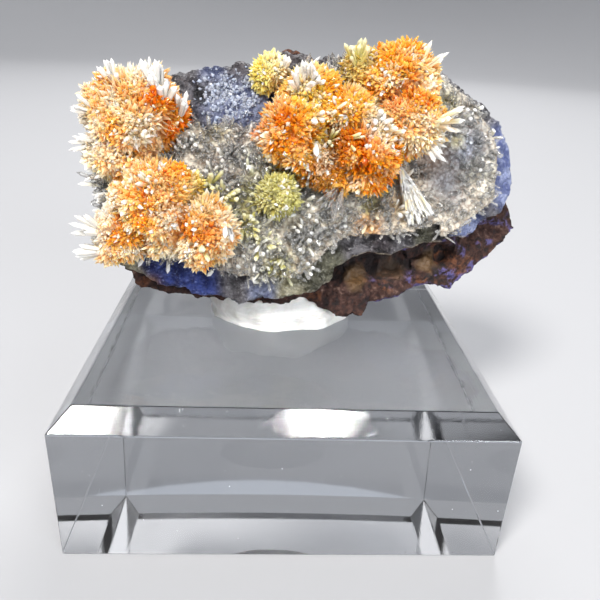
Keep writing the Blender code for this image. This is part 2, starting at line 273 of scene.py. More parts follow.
ROCK_VOXEL = 0.35 * MM
ROCK_BROWNS = (
    (0, (0.004, 0.002, 0.003, 1)),
    (0.4, (0.012, 0.006, 0.006, 1)),
    (0.5, (0.035, 0.012, 0.008, 1)),
    (0.6, (0.07, 0.032, 0.024, 1)),
    (0.72, (0.24, 0.15, 0.115, 1)),
)
NODULE_COLOUR = (0.12, 0.066, 0.025, 1)
RUST_COLOUR = (0.13, 0.045, 0.018, 1)
GRAIN_VIOLET = (0.09, 0.075, 0.2, 1)
RECESS_START = Vector((6, 27.6)) * MM
RECESS_END = Vector((20.5, 29.6)) * MM
RECESS_HALF_HEIGHT = 2 * MM
RECESS_DEPTH = 1.7 * MM
NODULES = ((8.8, 27, 2.6, 0.8), (13.8, 27.6, 3, 0.45), (18.9, 28.9, 2.1, 1))


def settled(scratch):
    """The plain mesh that an object's modifiers make of it; the object itself goes."""
    evaluated = scratch.evaluated_get(bpy.context.evaluated_depsgraph_get())
    mesh = bpy.data.meshes.new_from_object(evaluated)
    bpy.data.objects.remove(scratch)
    return mesh


def even_mesh(bm, voxel):
    """A mesh rebuilt as one closed skin of small, even faces."""
    scratch = from_bmesh("scratch", bm)
    remesh = scratch.modifiers.new("even", "REMESH")
    remesh.mode = "VOXEL"
    remesh.voxel_size = voxel
    return settled(scratch)


def dense_copy(node, voxel):
    """A CAD node's shape in small, even faces."""
    bm = bmesh.new()
    bm.from_mesh(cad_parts[node].data)
    bmesh.ops.remove_doubles(bm, verts=bm.verts, dist=0.001 * MM)
    return even_mesh(bm, voxel)


def corners(mesh):
    """Number, place and outward direction of each of a mesh's corners."""
    places = [v.co.copy() for v in mesh.vertices]
    normals = [v.normal.copy() for v in mesh.vertices]
    return list(zip(range(len(places)), places, normals))


def paint(mesh, name, values, kind="FLOAT"):
    """Stores a value, direction or colour for each corner, for the material to read."""
    values = np.asarray(values, np.float32)
    if kind == "FLOAT_COLOR":
        values = np.hstack((values, np.ones((len(values), 1), np.float32)))
    key = {"FLOAT": "value", "FLOAT_VECTOR": "vector", "FLOAT_COLOR": "color"}[kind]
    mesh.attributes.new(name, kind, "POINT").data.foreach_set(key, values.ravel())


def painted(wire, name, output=2):
    """A value stored by paint(); output 0 is its colour."""
    return wire.node("ShaderNodeAttribute", {"attribute_name": name}, output=output)


def waves(place, size):
    """Smooth noise around 0 with waves of about the given size in millimetres."""
    return noise.noise(place / (size * MM))


def smooth_step(low, high, value):
    share = min(1, max(0, (value - low) / (high - low)))
    return share * share * (3 - 2 * share)


def along_recess(place):
    """Distance from the recess's middle line, seen from the front."""
    spot = Vector((place.x, place.z))
    line = RECESS_END - RECESS_START
    share = min(1, max(0, (spot - RECESS_START).dot(line) / line.length_squared))
    return (spot - RECESS_START - line * share).length


def rock_material():
    made, wire, place = start_material("limonite_rock")
    coarse = grain(place, 3 * MM, 6)
    fine = grain(place, 0.8 * MM, 5)
    pits = pebbles(place, MM)
    # The recess under the crust's lip is painted darker: painted shade.
    tone = coarse * 0.45 + fine * 0.75 - painted(wire, "sunk") * 0.14 - 0.1
    brown = tone.node("ShaderNodeValToRGB", {"stops": ROCK_BROWNS}, {0: tone})
    rusty = blend(grain(place, 3.5 * MM).over(0.54, 0.66) * fine.over(0.4, 0.6), brown, RUST_COLOUR)
    honey = blend(painted(wire, "nodule").over(0.15, 0.8) * (0.3 + fine), rusty, NODULE_COLOUR)
    speckled = painted(wire, "violet").over(0.1, 0.8) * fine.over(0.42, 0.56)
    colour = blend(speckled, honey, GRAIN_VIOLET)
    relief = bump(pits * 0.6 + fine * 0.9, 0.5 * MM)
    inputs = {"Base Color": colour, "Roughness": 0.9 - painted(wire, "nodule") * 0.5, "Normal": relief}
    return finish_material(made, wire, surface(wire, inputs))


rock_mesh = dense_copy("matrix_rock", ROCK_VOXEL)
shares = {"nodule": [], "sunk": [], "violet": []}
for i, place, normal in corners(rock_mesh):
    front = smooth_step(0.1, 0.5, -normal.y) * smooth_step(3 * MM, 0, place.y)
    crumbs = noise.fractal(place / (2.2 * MM), 0.8, 2.2, 4)
    lumps = waves(place, 5)
    away = along_recess(place)
    # The recess: pressed in, and also painted darker in the material as shade
    sunk = front * smooth_step(RECESS_HALF_HEIGHT, 0.4 * RECESS_HALF_HEIGHT, away)
    nodule = 0
    for x, z, radius, height in NODULES:
        off = (Vector((place.x, place.z)) - Vector((x, z)) * MM).length / (radius * MM)
        off += 0.35 * waves(place, 1.3)
        nodule = max(nodule, front * height * smooth_step(1, 0.2, off))
    calm = 1 - 0.7 * nodule
    stones = 0.5 - noise.voronoi(place / (1.1 * MM))[0][0]
    shift = calm * (0.5 * crumbs + 0.3 * lumps + 0.35 * stones) * MM
    shift += 1.3 * MM * nodule - RECESS_DEPTH * sunk
    under = smooth_step(0, 0.5, -normal.z)
    lower_right = smooth_step(9 * MM, 13 * MM, place.x)
    violet = lower_right * max(under, smooth_step(0.1, 0.5, waves(place, 1.6) + 0.3 * under))
    shares["nodule"].append(nodule)
    shares["sunk"].append(sunk * (1 - nodule))
    shares["violet"].append(violet * smooth_step(5 * MM, 0, place.y) * (1 - sunk))
    rock_mesh.vertices[i].co = place + normal * shift
for name, values in shares.items():
    paint(rock_mesh, name, values)
rock = add_object("limonite_rock", rock_mesh, [rock_material()])
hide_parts("matrix_rock")
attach(rock, "root")


# Fluorite crust: a thin granular layer grown on the rock under the creedite.
# It is frosted blue-grey where it lies bare at the upper left, deep blue below, violet at the right edge,
# and its broken rim is grey and beige, with a painted highlight along its lower edge.

CRUST_VOXEL = 0.27 * MM
CRUST_TINTS = {
    "deep_blue": (0.024, 0.045, 0.21),
    "lavender": (0.27, 0.31, 0.5),
    "frosted": (0.22, 0.245, 0.36),
    "grey": (0.17, 0.16, 0.17),
    "beige": (0.15, 0.145, 0.1),
    "charcoal": (0.05, 0.04, 0.045),
    "matrix": (0.11, 0.095, 0.1),
    "ochre": (0.3, 0.13, 0.03),
    "cream": (0.42, 0.39, 0.28),
    "black": (0.002, 0.002, 0.002),
}
# Where each of the crust's colours lies: x, z and reach in millimetres
CRUST_SPOTS = {
    "frosted": ((-7.7, 48, 2.6), (-4.5, 47.4, 2), (-9.9, 50.6, 1.2), (-3.4, 26.6, 1.6)),
    "grey": ((-10, 49, 1.2), (26, 35.5, 1.5), (14.6, 31.6, 1.4), (8.9, 30.8, 1.6), (-6.9, 26.6, 1.8)),
    "black": ((-11.4, 48.2, 0.75),),
    "matrix": ((-7.2, 51.3, 1.6), (-3.5, 51.6, 2), (1, 53.6, 2.4)),
    "charcoal": ((4.7, 52.6, 1.4), (19.4, 32.6, 1.2), (11.5, 31.4, 1.5)),
    "lavender": ((27.8, 43.2, 2), (27.8, 40.8, 2), (27.8, 37.6, 1.6), (24.4, 35, 1.4), (22.2, 34, 1.3)),
    "beige": ((17.4, 32.2, 1.4), (5.2, 29.3, 1.6), (2.4, 28, 1.8)),
    "cream": ((0.2, 26.6, 1.6), (-19.4, 27, 1.5)),
    "deep_blue": ((-10.8, 26.2, 2), (-14.5, 26.8, 2.4), (-17.5, 28.3, 1.2)),
    "ochre": ((-17.4, 25.8, 1.3),),
}
BEAD_SIZE = 0.8 * MM
# Colour of the painted highlight along the crust's lower edge
CRUST_EDGE_HIGHLIGHT = (0.36, 0.29, 0.21, 1)


def crust_material():
    made, wire, place = start_material("fluorite_crust")
    cells = pebbles(place, 0.45 * MM)
    fine = grain(place, 0.3 * MM, 4)
    clouds = grain(place, 1.8 * MM, 5)
    stain = painted(wire, "stain", 0)
    dark = wire.node("ShaderNodeGamma", inputs={0: stain, 1: 1.9})
    light = wire.node("ShaderNodeGamma", inputs={0: stain, 1: 0.62})
    uneven = blend(clouds.over(0.38, 0.6), dark, stain)
    # Painted highlight: the tops of the beads are painted in a lighter colour.
    with_painted_highlights = blend(fine.over(0.5, 0.66) * painted(wire, "bead").over(0.35, 0.8), uneven, light)
    # Painted highlight along the crust's lower edge, on its downward faces.
    colour = blend(painted(wire, "edge") * (0.3 + fine), with_painted_highlights, CRUST_EDGE_HIGHLIGHT)
    relief = bump(cells * 0.8 + fine * 0.9, 0.45 * MM)
    inputs = {"Base Color": colour, "Roughness": 0.22 + fine * 0.35, "Normal": relief, "IOR": 1.43}
    inputs["Transmission Weight"] = 0.12
    return finish_material(made, wire, surface(wire, inputs))


def tint_mix(places, spots, tints, own, own_weight=0.25):
    """Colours at places on the face: the spots' and, where those are far, the piece's own."""
    flat = np.array(places)[:, (0, 2)] / MM
    mixed = own_weight * np.array(tints[own])
    total = own_weight
    for tint, marks in spots.items():
        for x, z, reach in marks:
            weight = np.exp(-1.6 * ((flat - (x, z)) ** 2).sum(1) / reach ** 2)
            mixed = mixed + np.multiply.outer(weight, tints[tint])
            total = total + weight
    return (mixed.T / total).T


crust_mesh = dense_copy("fluorite_crust", CRUST_VOXEL)
crust_places, bead_heights, edge_highlight_shares = [], [], []
for i, place, normal in corners(crust_mesh):
    bead = 1 - noise.voronoi(place / BEAD_SIZE)[0][0]
    swell = noise.fractal(place / (1.5 * MM), 0.8, 2.1, 3)
    bare = smooth_step(44.5 * MM, 46 * MM, place.z)
    crust_mesh.vertices[i].co = place + normal * ((0.16 + 0.45 * bare) * bead + 0.22 * swell) * MM
    crust_places.append(place)
    bead_heights.append(bead)
    # Downward faces of the lower edge, right of the middle, take the painted highlight
    below = smooth_step(36 * MM, 33 * MM, place.z) * smooth_step(0, 6 * MM, place.x)
    edge_highlight_shares.append(below * smooth_step(-0.35, -0.8, normal.z))
paint(crust_mesh, "bead", bead_heights)
paint(crust_mesh, "edge", edge_highlight_shares)
paint(crust_mesh, "stain", tint_mix(crust_places, CRUST_SPOTS, CRUST_TINTS, "grey", 0.02), "FLOAT_COLOR")
crust = add_object("fluorite_layer", crust_mesh, [crust_material()])
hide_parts("fluorite_crust")
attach(crust, "root")


# Creedite carpet: clear, grey and yellow-green prisms that stand close in sprays between the balls.
# They root in a thin grey-brown ground of stunted crystals on the fluorite.

# Colours of a crystal at its root and at its tip
TINTS = {
    "deep_orange": ((0.7, 0.17, 0.003), (0.84, 0.33, 0.015)),
    "orange": ((0.93, 0.31, 0.01), (1, 0.58, 0.13)),
    "peach": ((0.96, 0.4, 0.08), (1, 0.78, 0.5)),
    "cream": ((0.98, 0.66, 0.3), (1, 0.97, 0.86)),
    "amber": ((0.78, 0.26, 0.005), (0.94, 0.48, 0.05)),
    "rust": ((0.2, 0.06, 0.005), (0.4, 0.15, 0.03)),
    "rose": ((0.76, 0.2, 0.09), (0.97, 0.64, 0.5)),
    "yellow": ((0.92, 0.56, 0.02), (0.98, 0.8, 0.24)),
    "lemon": ((0.62, 0.54, 0.12), (0.8, 0.76, 0.46)),
    "green": ((0.32, 0.28, 0.04), (0.54, 0.52, 0.2)),
    "olive": ((0.28, 0.19, 0.03), (0.68, 0.62, 0.3)),
    "grey": ((0.44, 0.37, 0.27), (0.82, 0.78, 0.7)),
    "umber": ((0.15, 0.085, 0.055), (0.4, 0.31, 0.26)),
    "clear": ((0.8, 0.75, 0.58), (0.99, 0.98, 0.94)),
    "white": ((0.84, 0.78, 0.66), (0.91, 0.9, 0.86)),
    "frost": ((0.18, 0.22, 0.34), (0.44, 0.5, 0.64)),
    "slate": ((0.12, 0.13, 0.17), (0.34, 0.37, 0.45)),
}

# Where each colour lies across the face: x, z and reach in millimetres
BALL_SPOTS = {
    "deep_orange": ((-16.5, 48.2, 1.8), (-14.9, 45.2, 1.9), (-13, 36.2, 2.2), (-10, 34.5, 2.2),
        (-1.2, 45.4, 2.4), (7.8, 43.6, 2.6), (9.5, 42, 2.2), (12.5, 50.2, 1.8)),
    "cream": ((-18.6, 50.6, 2.4), (-17.6, 45.4, 2.1), (-23, 39.6, 2.6), (-7.8, 35.4, 1.8),
        (-15, 31.5, 1.8), (15.8, 46, 1.8), (14.8, 51.5, 1.5), (-2.2, 51.8, 1.5)),
    "peach": ((-21.8, 48.5, 2.2), (-20, 42.4, 1.6), (-15.9, 39.9, 2.6), (-9, 31.3, 1.8), (-2, 48.2, 1.6),
        (13.2, 46.9, 2.2)),
    "rust": ((-14.2, 43, 1.4), (3.2, 41.5, 2), (5, 44.3, 1.5)),
    "white": ((-24.6, 46.4, 2.8), (-24.6, 43, 2.8), (-24, 38, 1.5), (-15.6, 51.8, 1.5),
        (-23.4, 32.4, 1.9), (-22.2, 36.2, 2), (0.9, 51.9, 1.8), (9.4, 46.2, 1.7)),
    "orange": ((-21.2, 45.2, 1.8), (-13.5, 40.1, 1.8), (-17.5, 36.5, 2.6), (11.5, 52.4, 2.6)),
    "umber": ((-16.4, 42, 1.1),),
    "lemon": ((-12.6, 47.8, 1.3), (-11.2, 38.2, 2.5), (-1.4, 39.2, 1.8), (2.8, 44.6, 1.2),
        (7.8, 53.6, 1.9), (10, 47.3, 1.6), (-4.6, 49.8, 1.5)),
    "amber": ((-19.4, 32.8, 2), (-13, 33, 1.6), (4.4, 49, 2)),
    "olive": ((-3.3, 37, 1.8), (6.3, 51.2, 1.6)),
    "rose": ((-4.2, 45, 1.5), (11.4, 49, 1.3)),
    "yellow": ((1.5, 49.4, 2), (-3.8, 51.6, 1.6)),
}
CARPET_SPOTS = {
    "grey": ((-8.8, 42.8, 3), (0.5, 34.5, 2.4), (18, 37, 2.2)),
    "umber": ((-7.6, 39, 1.2), (-6.3, 44, 1.5), (-9.6, 41, 1.4), (17.4, 42.4, 2.4)),
    "clear": ((-5.3, 42.8, 2.5), (-3, 32, 2.5), (2, 37, 2.4), (6.5, 37.8, 2), (18, 50.5, 2),
        (24, 40.5, 2)),
    "olive": ((-9.5, 44.8, 1.8), (-1.8, 41.7, 1.3)),
    "green": ((-5, 37, 2), (-1.6, 37.6, 3.4), (-6, 34, 2), (-1.5, 29.6, 1.8), (9.8, 36.7, 1.2)),
    "lemon": ((11.4, 38.7, 1), (19.4, 48.8, 1), (20.8, 44.4, 1)),
    "amber": ((9.7, 34.4, 1.4),),
    "cream": ((13.6, 38, 2.2), (14.8, 36.2, 1.4)),
    "frost": ((22, 43.5, 2.4),),
    "slate": ((19.6, 39, 2.4),),
    "rust": ((7, 39.8, 1),),
}

PAINTED_CELL_SHADE = (0.6, 0.54, 0.51, 1)
CARPET_CELL = 0.3 * MM
CARPET_GROUND = 1.1 * MM
FROST_PITCH = 0.44 * MM
SPRAY_PITCH = 1.65 * MM
MILKY_SHARE = 0.22
PATCH_EDGE = 45 * MM
CARPET_OVERHANG = Vector((1.7, -1.3)) * MM
OVERHANG_START = 19 * MM
# Hollows with few crystals: x, z and reach in millimetres
BARE_SPOTS = ((16.4, 42.6, 1.8), (18.8, 42, 1.8), (19.4, 39, 1.9), (2.4, 54, 2.6), (-7.6, 39, 0.8))
FAN_ROOT = Vector((13, 42)) * MM
FAN_REACH = 7 * MM
FAN_CRYSTALS = 1000
PATCH_CRYSTALS = 520


def target_of(*pieces):
    """The pieces' surfaces, ready to cast rays on."""
    points, faces = [], []
    for piece in pieces:
        first = len(points)
        points += [v.co.copy() for v in piece.data.vertices]
        faces += [[first + v for v in face.vertices] for face in piece.data.polygons]
    return BVHTree.FromPolygons(points, faces)


crust_target = target_of(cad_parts["fluorite_crust"])
plate_target = target_of(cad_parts["fluorite_crust"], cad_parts["matrix_rock"])
carpet_target = target_of(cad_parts["creedite_carpet"])
VIEWER_SIDE = -0.1
AWAY = Vector((0, 1, 0))


def hit_at(target, x, z):
    """The point of a target's front at a place on the face, or None beside it."""
    return target.ray_cast(Vector((x, VIEWER_SIDE, z)), AWAY)[0]


class Growth:
    """Crystals that are still to be drawn: root, direction, size and colours of each."""

    def __init__(self, own_tint, seed, spots, mottle=0):
        self.own_tint, self.spots, self.mottle = own_tint, spots, mottle
        self.rng = random.Random(seed)
        self.roots, self.directions, self.sizes, self.tints = [], [], [], []

    def add(self, root, direction, length, width, tint=None):
        """One crystal; without a tint it takes the colours that lie at its root."""
        self.roots.append(root)
        self.directions.append(direction.normalized())
        self.sizes.append((width, width * self.rng.uniform(0.55, 0.95), length))
        self.tints.append(tint)

    def colours(self):
        """Root and tip colours of every crystal, with pale and deep patches."""
        found = tint_mix(self.roots, self.spots, TINTS, self.own_tint)
        for i, (root, tint) in enumerate(zip(self.roots, self.tints)):
            if tint:
                found[i] = TINTS[tint]
                continue
            patch = waves(root, 2.2) + 0.3 * waves(root, 0.6)
            patch = self.mottle * (patch - 0.14)
            if patch > 0:
                paler = min(0.85, 1.5 * patch) * found[i][1][0]
                found[i] += (np.array(TINTS["cream"]) - found[i]) * paler
            else:
                found[i] **= 1 - patch * np.array((1, 1, 1.5))
        swing = np.array([self.rng.uniform(0.86, 1.06) for _ in self.roots])
        paleness = np.array([self.rng.triangular(0, 1, 0.25) for _ in self.roots])
        found[:, 0] += (found[:, 1] - found[:, 0]) * 0.3 * paleness[:, None]
        return np.clip(found * swing[:, None, None], 0, 1)


# Node tree that grows a pointed prism on every point
CRYSTAL_TREE = bpy.data.node_groups.new("grow_crystals", "GeometryNodeTree")
kinds = {"Geometry": "Geometry", "Sides": "Int", "Root width": "Float", "Shoulder": "Float"}
kinds.update({"Tip shift": "Float", "Seed": "Int", "Finish": "Material"})
for name, kind in kinds.items():
    CRYSTAL_TREE.interface.new_socket(name, in_out="INPUT", socket_type="NodeSocket" + kind)
CRYSTAL_TREE.interface.new_socket("Geometry", in_out="OUTPUT", socket_type="NodeSocketGeometry")
given = CRYSTAL_TREE.nodes.new("NodeGroupInput")
wire = Wire(CRYSTAL_TREE)
inlet = {socket.name: Wire(CRYSTAL_TREE, socket) for socket in given.outputs}

cone_inputs = {"Vertices": inlet["Sides"], "Side Segments": 2, "Depth": 1}
cone = wire.node("GeometryNodeMeshCone", inputs=cone_inputs)
place = wire.node("GeometryNodeInputPosition")
x, y, z = (wire.node("ShaderNodeSeparateXYZ", inputs={0: place}, output=i) for i in range(3))
spread = inlet["Root width"] + (2 - inlet["Root width"]) * 2 * z
lifted = z + (inlet["Shoulder"] - 0.5) * 4 * z * (1 - z)
shifted = x * spread + inlet["Tip shift"] * z * (2 * z - 1)
drawn = wire.node("ShaderNodeCombineXYZ", inputs={0: shifted, 1: y * spread, 2: lifted})
prism = wire.node("GeometryNodeSetPosition", inputs={"Geometry": cone, "Position": drawn})
marking = {"Geometry": prism, "Name": "along", "Value": z}
marked = wire.node("GeometryNodeStoreNamedAttribute", inputs=marking)
growth_vector, size_vector = (
    wire.node("GeometryNodeInputNamedAttribute", {"data_type": "FLOAT_VECTOR"}, {"Name": name})
    for name in ("growth", "size")
)
spin = wire.node("FunctionNodeRandomValue", inputs={2: 0, 3: math.tau, "Seed": inlet["Seed"]}, output=1)
aim = wire.node("FunctionNodeAlignRotationToVector", {"axis": "Z"}, {"Vector": growth_vector})
about = wire.node("FunctionNodeAxisAngleToRotation", inputs={"Axis": (0, 0, 1), "Angle": spin})
facing = wire.node("FunctionNodeRotateRotation", {"rotation_space": "LOCAL"}, {0: aim, 1: about})
set_out = {"Points": inlet["Geometry"], "Instance": marked, "Rotation": facing, "Scale": size_vector}
stand = wire.node("GeometryNodeInstanceOnPoints", inputs=set_out)
real = wire.node("GeometryNodeRealizeInstances", inputs={"Geometry": stand})
flat = wire.node("GeometryNodeSetShadeSmooth", inputs={0: real, "Shade Smooth": False})
coated = wire.node("GeometryNodeSetMaterial", inputs={"Geometry": flat, "Material": inlet["Finish"]})
wire.node("NodeGroupOutput", inputs={0: coated})


def grow(name, growth, finish, sides=4, shoulder=0.84, tip_shift=0.3, root_width=0.8, seed=1):
    """Draws all of a growth's crystals as one plain mesh."""
    mesh = bpy.data.meshes.new(name)
    mesh.from_pydata([tuple(root) for root in growth.roots], [], [])
    colours = growth.colours()
    paint(mesh, "growth", growth.directions, "FLOAT_VECTOR")
    paint(mesh, "size", np.array(growth.sizes) * (0.5, 0.5, 1), "FLOAT_VECTOR")
    paint(mesh, "root_colour", colours[:, 0], "FLOAT_COLOR")
    paint(mesh, "tip_colour", colours[:, 1], "FLOAT_COLOR")
    scratch = add_object("scratch", mesh)
    growing = scratch.modifiers.new("growth", "NODES")
    growing.node_group = CRYSTAL_TREE
    values = {"Sides": sides, "Root width": root_width, "Shoulder": shoulder}
    values.update({"Tip shift": tip_shift, "Seed": seed, "Finish": finish})
    for socket in CRYSTAL_TREE.interface.items_tree:
        if socket.name in values:
            growing[socket.identifier] = values[socket.name]
    crystals = settled(scratch)
    crystals.name = name
    made = add_object(name, crystals)
    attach(made, "root")
    return made


def creedite_material(name, see_through, frost, stain_strength, glow=0):
    """Glassy crystals, stained at their roots and paler at their tips; glow is light scattered inside."""
    made, wire, place = start_material(name)
    rise = painted(wire, "along")
    cloud = grain(place, 0.9 * MM, 3)
    share = (rise + (cloud - 0.5) * 0.6).over(0.35, 1.05)
    colour = blend(share, painted(wire, "root_colour", 0), painted(wire, "tip_colour", 0))
    thinned = wire.node("ShaderNodeGamma", inputs={0: colour, 1: stain_strength})
    striae = grain(place, 0.08 * MM, 2)
    inputs = {"Base Color": thinned, "Roughness": frost + striae * 0.15, "IOR": 1.46}
    inputs["Transmission Weight"] = see_through
    inputs.update({"Subsurface Weight": glow, "Subsurface Radius": (1, 1, 1), "Subsurface Scale": 0.2 * MM})
    inputs["Normal"] = bump(striae, 0.012 * MM)
    return finish_material(made, wire, surface(wire, inputs))


def ground_material(name, glow=0):
    """Stunted crystals between the tall ones, in the colour that lies there, with painted shade along the
    borders of their cells.
    """
    made, wire, place = start_material(name)
    fine = grain(place, 0.3 * MM, 4)
    cells = pebbles(place, 0.5 * MM)
    stain = painted(wire, "root_colour", 0)
    # Painted shade: the borders between the rounded cells are darkened.
    dimmed = {"Factor": 1, 6: stain, 7: PAINTED_CELL_SHADE}
    deep = wire.node("ShaderNodeMix", {"data_type": "RGBA", "blend_type": "MULTIPLY"}, dimmed, 2)
    light = wire.node("ShaderNodeGamma", inputs={0: stain, 1: 0.6})
    uneven = blend(cells.over(0.75, 0.35), deep, stain)
    colour = blend(fine.over(0.52, 0.68) * 0.8, uneven, light)
    inputs = {"Base Color": colour, "Roughness": 0.2 + fine * 0.3, "IOR": 1.46}
    inputs.update({"Subsurface Weight": glow, "Subsurface Radius": (1, 1, 1), "Subsurface Scale": 0.5 * MM})
    inputs["Normal"] = bump(cells * 0.9 + fine * 0.5, 0.25 * MM)
    return finish_material(made, wire, surface(wire, inputs))


def on_carpet(x, z):
    """True where the carpet grows: its packed outline, and a little more at the lower right."""
    if hit_at(crust_target, x, z) is None:
        return False
    if x < 0 and z > PATCH_EDGE + 1.6 * MM * waves(Vector((x, 0, z)), 1.4):
        return False
    inner = hit_at(carpet_target, x - CARPET_OVERHANG.x, z - CARPET_OVERHANG.y)
    return hit_at(carpet_target, x, z) is not None or (x > OVERHANG_START and inner is not None)


def bareness(x, z):
    """1 in the hollows that hold few crystals, 0 away from them."""
    apart = min(math.hypot(x / MM - mid_x, z / MM - mid_z) / reach for mid_x, mid_z, reach in BARE_SPOTS)
    return smooth_step(1.4, 0.6, apart)


def tint_by_place(mesh, spots, own):
    """Paints a mesh with the colours that lie across the face."""
    found = tint_mix([v.co for v in mesh.vertices], spots, TINTS, own)
    paint(mesh, "root_colour", 0.65 * found[:, 0] + 0.35 * found[:, 1], "FLOAT_COLOR")


# The ground: a lumpy sheet on the fluorite, cut to the carpet's outline
low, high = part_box("creedite_carpet")
bm = bmesh.new()
front, back = {}, {}
for i in range(int((high.x - low.x) / CARPET_CELL) + 1):
    for j in range(int((high.z - low.z) / CARPET_CELL) + 1):
        x, z = low.x + i * CARPET_CELL, low.z + j * CARPET_CELL
        if not on_carpet(x, z):
            continue
        bed = hit_at(crust_target, x, z)
        place = Vector((x, bed.y, z))
        crumbs = 0.6 - noise.voronoi(place / (0.9 * MM))[0][0]
        rise = 1 + 0.4 * waves(place, 2.5) + 0.5 * crumbs
        rise -= 0.45 * bareness(x, z)
        front[i, j] = bm.verts.new((x, bed.y - CARPET_GROUND * rise, z))
        back[i, j] = bm.verts.new((x, bed.y + 0.2 * MM, z))
for i, j in front:
    square = ((i, j), (i + 1, j), (i + 1, j + 1), (i, j + 1))
    if all(corner in front for corner in square):
        bm.faces.new([front[c] for c in square])
        bm.faces.new([back[c] for c in square[::-1]])
behind = {front[key]: back[key] for key in front}
for edge in [e for e in bm.edges if e.is_boundary and e.verts[0] in behind]:
    one, other = edge.verts
    bm.faces.new((one, other, behind[other], behind[one]))
bmesh.ops.delete(bm, geom=[v for v in bm.verts if not v.link_faces], context="VERTS")
bmesh.ops.smooth_vert(bm, verts=bm.verts, factor=0.5, use_axis_x=True, use_axis_z=True)
bmesh.ops.recalc_face_normals(bm, faces=bm.faces)
ground = from_bmesh("carpet_ground", bm, [ground_material("carpet_ground")], smooth=True)
tint_by_place(ground.data, CARPET_SPOTS, "grey")
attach(ground, "root")

CLEAR_CREEDITE = creedite_material("clear_prisms", 0.85, 0.03, 0.22)
MILKY_CREEDITE = creedite_material("milky_prisms", 0.12, 0.04, 0.7, 1)


def shaken_grid(pitch, rng):
    """Places on the carpet in shaken rows, and the bed's depth there."""
    low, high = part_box("creedite_carpet")
    for row in range(int((high.z - low.z) / pitch) + 1):
        for column in range(int((high.x - low.x) / pitch) + 1):
            x = low.x + (column + rng.uniform(-0.5, 0.5)) * pitch
            z = low.z + (row + rng.uniform(-0.5, 0.5)) * pitch
            if on_carpet(x, z):
                yield x, z, hit_at(crust_target, x, z).y


def scatter(rng):
    return Vector(rng.uniform(-1, 1) for _ in range(3))


def kept_inside(root, lean, length):
    """The length of a crystal, cut where it would stand out past the plate's edge."""
    tip = root + lean.normalized() * length
    if root.x > 8 * MM and hit_at(plate_target, tip.x, tip.z) is None:
        return 0.35 * length
    return length


# Small prisms cover the carpet closely and point in no one direction
growth = Growth("clear", 21, CARPET_SPOTS)
rng = growth.rng
for x, z, bed in shaken_grid(FROST_PITCH, rng):
    thin = smooth_step(0, 0.4, waves(Vector((x, 0, z)), 2.4))
    if rng.random() < max(1.6 * bareness(x, z), 0.6 * thin):
        continue
    root = Vector((x, bed - 0.75 * MM, z))
    drift = 0.8 * noise.noise_vector(root / (1.5 * MM))
    lean = Vector((0, -0.8, 0.25)) + drift + 0.8 * scatter(rng)
    lean.y = min(lean.y, -0.25)
    length = kept_inside(root, lean, rng.triangular(0.7, 2.2, 1.1) * MM)
    growth.add(root, lean, length, rng.triangular(0.2, 0.6, 0.32) * MM)
carpet = grow("carpet_crystals", growth, CLEAR_CREEDITE, seed=3)
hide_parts("creedite_carpet")

# Longer prisms spread in sprays from buried middles: clear ones and some milky ones
clear, milky = Growth("clear", 22, CARPET_SPOTS), Growth("clear", 24, CARPET_SPOTS)
rng = clear.rng
for x, z, bed in shaken_grid(SPRAY_PITCH, rng):
    middle = Vector((x, bed + rng.uniform(-0.4, 0.9) * MM, z))
    vigour = rng.uniform(0.5, 1.15) * (1 - bareness(x, z))
    vigour *= 1 - 0.5 * smooth_step(14 * MM, 18 * MM, x)
    tilt = Vector((rng.uniform(-0.5, 0.5), -0.8, rng.uniform(-0.3, 0.8)))
    for _ in range(rng.randint(9, 20)):
        lean = tilt + 0.95 * scatter(rng)
        lean.y = min(lean.y, -0.15)
        root = middle + lean.normalized() * 0.4 * MM + 0.25 * MM * scatter(rng)
        length = rng.triangular(1.7, 4, 2.5) * vigour * MM
        if length > 0.9 * MM and on_carpet(root.x, root.z):
            kind = milky if rng.random() < MILKY_SHARE else clear
            kind.add(root, lean, kept_inside(root, lean, length), rng.triangular(0.28, 0.8, 0.42) * MM)
sprays = grow("clear_sprays", clear, CLEAR_CREEDITE, sides=6, seed=4)
sprays = grow("milky_sprays", milky, MILKY_CREEDITE, sides=6, seed=6)

# A fan of fine pale fibres spreads downwards from one root below the middle mass
growth = Growth("cream", 23, CARPET_SPOTS)
rng = growth.rng
for _ in range(FAN_CRYSTALS):
    turn = rng.uniform(0.22, 0.7)
    reach = rng.uniform(0.1, 0.85) * FAN_REACH
    spot = FAN_ROOT + reach * Vector((math.sin(turn), -math.cos(turn)))
    if on_carpet(*spot):
        root = hit_at(crust_target, *spot)
        root.y -= rng.uniform(1.6, 3.2) * MM
        lean = Vector((math.sin(turn), -rng.uniform(0, 0.45), -math.cos(turn))) + 0.1 * scatter(rng)
        tint = rng.choice(("cream", "white", "white", "clear"))
        growth.add(root, lean, rng.uniform(1.2, 2.2) * MM, rng.uniform(0.2, 0.36) * MM, tint)
fan = grow("pale_fan", growth, creedite_material("pale_fibres", 0.1, 0.05, 0.7, 1), seed=5)

# Small frosted crystals lie on the bare fluorite at the upper left
growth = Growth("slate", 25, CARPET_SPOTS)
rng = growth.rng
for _ in range(PATCH_CRYSTALS):
    x, z = rng.gauss(-7.6, 2) * MM, rng.gauss(48, 1.3) * MM
    hit, normal, *_ = crust_target.ray_cast(Vector((x, VIEWER_SIDE, z)), AWAY)
    if hit and not on_carpet(hit.x, hit.z):
        lean = normal + 1.1 * scatter(rng)
        tint = rng.choice(("slate", "slate", "frost", "frost"))
        size = rng.triangular(0.25, 0.8, 0.35) * MM
        growth.add(hit - 0.2 * MM * normal, lean, 0.5 * MM + 0.8 * size, size, tint)
patch = grow("frosted_patch", growth, MILKY_CREEDITE, shoulder=0.7, seed=8)


# Creedite balls: thousands of orange prisms radiate from many small centres, so that each ball is a heap
# of little bushes. The crystals are deeply stained where they root and pale or white at their tips.

